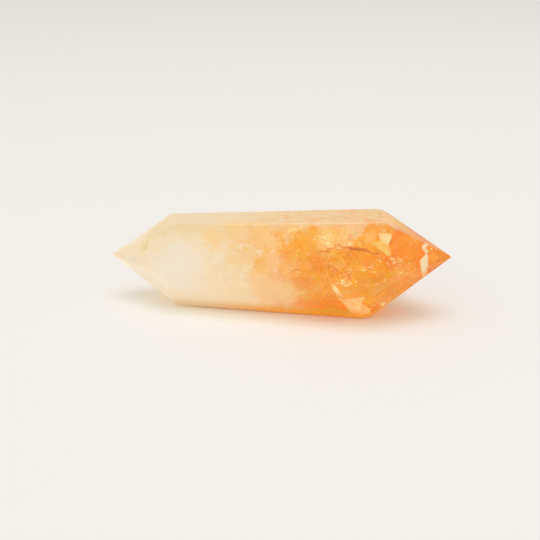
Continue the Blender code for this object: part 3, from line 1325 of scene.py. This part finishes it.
# %% Add the tip crack
TIP_CRACK = (
    (34.5, -0.6, 17.1), (34.9, -1.9, 17.0), (34.4, -2.5, 16.5), (35.1, -2.4, 15.8), (34.7, -2.9, 15.2),
    (35.1, -2.9, 14.9), (35.1, -3.4, 13.8), (35.0, -3.7, 12.8), (34.8, -2.8, 11.4), (34.4, -1.8, 9.8),
    (33.9, -2.1, 9.6), (33.6, -4.2, 11.8), (33.6, -5.0, 12.9), (33.4, -4.6, 14.0), (33.6, -4.2, 14.5),
    (34.2, -3.5, 15.0), (34.5, -3.1, 15.3), (34.2, -3.0, 15.9), (33.6, -3.0, 16.5), (33.5, -2.8, 17.1),
    (34.0, -2.3, 17.5),
)
add_cracks(
    "tip_crack",
    [sheet(TIP_CRACK, wave=0.1 * MM, seed=4)],
    make_crack_face(
        "cream crack face", pale=(1.0, 0.93, 0.74, 1), warm=(1.0, 0.88, 0.62, 1), size=0.9 * MM, glow=0.2
    ),
)

# %% [markdown]
# ## Ribbons for the edges of cracks
#
# Where a crack comes up to a facet it shows as a thin line. A line could be a curve with a round bevel, but
# then it would be a wire, and the edge of a crack is flat. So it is a ribbon that lies just under the nearest
# facet, sways a little, and gets wider and narrower as it goes, down to almost nothing at both ends.

# %% Write the ribbon
RIBBON_STEP = 0.3 * MM
SWAY = 0.5 * MM
SWAY_SIZE = 1.5 * MM
WIDTH_CHANGE_SIZE = 0.6 * MM
NARROWEST = 0.5  # times the width
WIDENING = 0.9
TAPER = 3  # how steeply the ribbon widens from its ends
WIDTH_AT_END = 0.15


def samples_along(points):
    """Places a short step apart along the line through points in millimetres."""
    places = [Vector(point) * MM for point in points]
    samples = []
    for start, end in zip(places, places[1:]):
        count = max(2, int((end - start).length / RIBBON_STEP))
        samples += [start.lerp(end, step / count) for step in range(count)]
    return samples + [places[-1]]


def ribbon(points, width, seed):
    """A flat ribbon just under the facets, through points in millimetres, that is uneven along both sides."""
    samples = samples_along(points)
    last = len(samples) - 1
    mesh = bmesh.new()
    rows = []
    for index, sample in enumerate(samples):
        onward = samples[min(last, index + 1)] - samples[max(0, index - 1)]
        _, normal = min(facets, key=lambda facet: (facet[0] - sample).dot(facet[1]))
        side = onward.cross(normal).normalized()
        sway = noise.noise(sample / SWAY_SIZE + Vector((seed, 0, 0))) * SWAY
        change = abs(noise.noise(sample / WIDTH_CHANGE_SIZE + Vector((0, seed, 0))))
        half = width * MM * (NARROWEST + WIDENING * change)
        half *= min(1.0, TAPER * min(index, last - index) / len(samples) + WIDTH_AT_END)
        pair = [pushed_inside(sample + side * (sway + way * half), LEAST_DEPTH) for way in (-1, 1)]
        rows.append([mesh.verts.new(place) for place in pair])
    for first, second in zip(rows, rows[1:]):
        mesh.faces.new((first[0], first[1], second[1], second[0]))
    return mesh


print("a ribbon has a step every", round(RIBBON_STEP / MM, 1), "mm")

# %% [markdown]
# ## Dark and bright crack edges
#
# The same kind of edge is dark where the crack turns light away from the eye, and bright where it catches it.
# The dark one is an arc across the clear half, with a short one near the shoulder. The bright ones run along
# both rims of the pale crack and up from its top.

# %% Add the crack edges
# Each edge is (points in millimetres, width in millimetres).
ARC_START = ((10.4, -8.9, 15.7), (12.8, -8.6, 16.4), (15.1, -8.0, 17.4))
ARC_REST = (
    (15.1, -8.0, 17.4), (17.6, -8.2, 17.2), (19.7, -8.5, 17.0), (23.4, -8.9, 16.6), (25.0, -8.8, 16.3),
)
SHOULDER_EDGE = ((27.2, -5.9, 19.7), (26.9, -6.6, 18.7), (27.1, -7.0, 17.7))
DARK_EDGES = ((ARC_START, 0.22), (ARC_REST, 0.45), (SHOULDER_EDGE, 0.14))
BRIGHT_EDGES = (
    (((14.9, -11.3, 9.5), (15.6, -9.9, 7.2), (17.4, -9.2, 5.7)), 0.40),
    (((14.9, -11.7, 9.1), (15.7, -10.4, 7.2), (16.8, -8.9, 4.7), (18.3, -7.7, 2.7), (20.0, -6.7, 1.0)), 0.16),
    (((13.6, -8.3, 16.7), (13.0, -10.1, 13.5), (13.4, -11.0, 11.6), (14.9, -11.3, 9.5)), 0.07),
)
add_cracks(
    "dark_crack_edges",
    [ribbon(points, width, seed=5) for points, width in DARK_EDGES],
    make_crack_face(
        "dark crack edge", pale=(0.80, 0.16, 0.004, 1), warm=(0.92, 0.32, 0.01, 1), size=0.8 * MM, glow=0.03
    ),
)
add_cracks(
    "bright_crack_edges",
    [ribbon(points, width, seed=6) for points, width in BRIGHT_EDGES],
    make_crack_face("bright crack edge", pale=(1.0, 0.92, 0.74, 1), warm=(1.0, 0.72, 0.36, 1), size=0.8 * MM),
)

# %% [markdown]
# ## The fan of blades
#
# Below the yellow plane a crack ends in a fan: narrow yellow blades that spread towards the tip, each a crack
# of its own. They are ribbons too, short and wide. They shine only a little, so that they stay yellow where a
# lamp would turn them white.

# %% Add the fan
# Each blade is (points in millimetres, width in millimetres).
FAN = (
    (((26.7, -8.5, 15.3), (27.8, -7.7, 15.3)), 0.22),
    (((28.3, -7.8, 14.5), (29.1, -6.9, 15.1), (29.8, -6.3, 15.3)), 0.32),
    (((27.3, -8.6, 14.3), (28.3, -7.8, 14.5)), 0.15),
    (((27.4, -8.9, 13.6), (28.6, -8.5, 12.7)), 0.18),
    (((28.8, -8.7, 12.1), (29.7, -8.0, 12.3)), 0.15),
    (((28.1, -7.4, 15.5), (28.8, -6.8, 15.6)), 0.12),
    (((27.2, -8.4, 14.7), (28.0, -7.9, 14.8)), 0.12),
)
add_cracks(
    "fan_of_blades",
    [ribbon(points, width, seed=7) for points, width in FAN],
    make_crack_face(
        "yellow blade",
        pale=(1.0, 0.76, 0.26, 1),
        warm=(1.0, 0.60, 0.12, 1),
        size=0.7 * MM,
        glow=0.2,
        shine=0.1,
    ),
)

# %% [markdown]
# ## Where the glints are
#
# Where a crack ends in splinters, many tiny flat faces catch the light. They gather in clusters, along the
# dark arc, around the splintered parts and near the shoulder, with a few strays everywhere in the clear half.
# A cluster is given by its place along the crystal, its angle up from the level front, its spread in both,
# and its number of flakes. A few larger splinters have places of their own.

# %% List the clusters
# Each cluster is (millimetres along, degrees up, spread in millimetres, spread in degrees, flakes).
CLUSTERS = (
    (13.7, 46, 2.8, 8, 80),
    (12.3, 45, 1.1, 4, 50),
    (13.6, 36, 0.5, 1.5, 14),
    (17.9, 40, 0.7, 1.5, 20),
    (18.3, 59, 0.4, 1.5, 8),
    (6.5, 62, 0.9, 2, 10),
    (5.0, 53, 0.9, 2, 8),
    (12.9, 50, 0.6, 2, 8),
    (-6.5, 38, 0.3, 1.5, 4),
    (1.2, 15, 0.3, 2, 4),
    (7.0, 2, 0.8, 3, 10),
    (-2.6, -15, 0.6, 3, 8),
    (-8.7, 0, 0.3, 2, 3),
    (17.8, -4, 0.9, 2, 16),
    (17.6, 4, 0.6, 2, 8),
    (28.5, 18, 1.6, 12, 40),
    (22.4, 17, 0.9, 4, 16),
    (25.8, -48, 0.9, 5, 14),
    (29.0, 80, 3.0, 14, 70),
    (21.0, 10, 6.0, 25, 60),
)
# Each splinter is its place in millimetres.
SPLINTERS = (
    (28.5, -7.8, 13.1), (30.8, -5.3, 14.6), (26.5, -5.2, 5.5), (24.0, -10.0, 14.4), (22.5, -10.5, 13.5),
    (15.4, -11.2, 8.9), (17.9, -12.0, 10.0), (12.0, -7.6, 18.3), (18.1, -8.2, 18.2), (4.5, -6.3, 20.0),
)
FLAKES_PER_SPLINTER = 3
STRAY_FLAKES = 90
flake_count = sum(cluster[-1] for cluster in CLUSTERS) + FLAKES_PER_SPLINTER * len(SPLINTERS) + STRAY_FLAKES
print(len(CLUSTERS), "clusters and", flake_count, "flakes in all")

# %% [markdown]
# ## The glinting flakes
#
# A glint is a flake well under a millimetre across, lying at its own angle: a triangle, a square or a
# five-sided piece that is squashed to a sliver. A particle system could scatter such flakes, but it would not
# keep them under the facets. A loop can, by the depth measured before. It draws from a random generator with
# a fixed seed, so that the same flakes come out each time. All the flakes share a finish, so they are one
# mesh.

# %% Scatter the flakes
RANDOM_SEED = 23
FLAKE_SHALLOW = 0.12 * MM
FLAKE_DEEP = 0.9 * MM
FLAKE_LEAST_DEPTH = 0.1 * MM
FLAKE_THICKNESS = 0.03 * MM
FLAKE_SIZES = (0.12 * MM, 0.50 * MM)
SPLINTER_SIZES = (0.25 * MM, 0.7 * MM)
SPLINTER_SPREAD = 0.6
SLIVER = (0.12, 0.5)  # how wide a flake is, times its length
STRAYS_FROM = -6
STRAYS_TO = 33


def place_at(x, rise, depth):
    """The place x millimetres along, at that angle up from the level front, and that deep."""
    direction = Vector((0, -math.cos(rise), math.sin(rise)))
    return point_under(axis_at(x * MM), direction, depth)


def scatter(pick):
    """Every flake's centre and range of sizes, one after another."""
    for x, rise, spread_x, spread_rise, count in CLUSTERS:
        for _ in range(count):
            along = x + pick.gauss(0, spread_x)
            angle = math.radians(rise + pick.gauss(0, spread_rise))
            yield place_at(along, angle, pick.uniform(FLAKE_SHALLOW, FLAKE_DEEP)), FLAKE_SIZES
    for splinter in SPLINTERS:
        for _ in range(FLAKES_PER_SPLINTER):
            spread = Vector([pick.gauss(0, SPLINTER_SPREAD) for _ in range(3)])
            yield (Vector(splinter) + spread) * MM, SPLINTER_SIZES
    for _ in range(STRAY_FLAKES):
        along = pick.uniform(STRAYS_FROM, STRAYS_TO)
        angle = pick.uniform(0, 2 * math.pi)
        yield place_at(along, angle, pick.uniform(FLAKE_SHALLOW, FLAKE_DEEP)), FLAKE_SIZES


def make_flakes():
    pick = random.Random(RANDOM_SEED)
    mesh = bmesh.new()
    for centre, sizes in scatter(pick):
        size = pick.uniform(*sizes)
        turn = Vector([pick.gauss(0, 1) for _ in range(3)]).to_track_quat("Z", "Y")
        sides = pick.choice((3, 4, 5))
        ring = bmesh.ops.create_circle(mesh, cap_ends=True, radius=size, segments=sides)["verts"]
        width = pick.uniform(*SLIVER)
        for vertex in ring:
            corner = Vector((vertex.co.x, vertex.co.y * width, 0))
            vertex.co = pushed_inside(centre + turn @ corner, FLAKE_LEAST_DEPTH)
    made = to_object("glinting_flakes", mesh)
    thicken(made, FLAKE_THICKNESS, offset=-1)
    return made


GLINT_PALE = (1.0, 0.93, 0.72, 1)
GLINT_WARM = (1.0, 0.84, 0.48, 1)
flakes = make_flakes()
flakes.data.materials.append(
    make_crack_face("glint", GLINT_PALE, GLINT_WARM, size=1.0 * MM, roughness=0.2, glow=0.32, shine=0.15)
)
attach(flakes, "root")
print("the flakes have", len(flakes.data.polygons), "faces, from", shallowest(flakes), "mm deep")
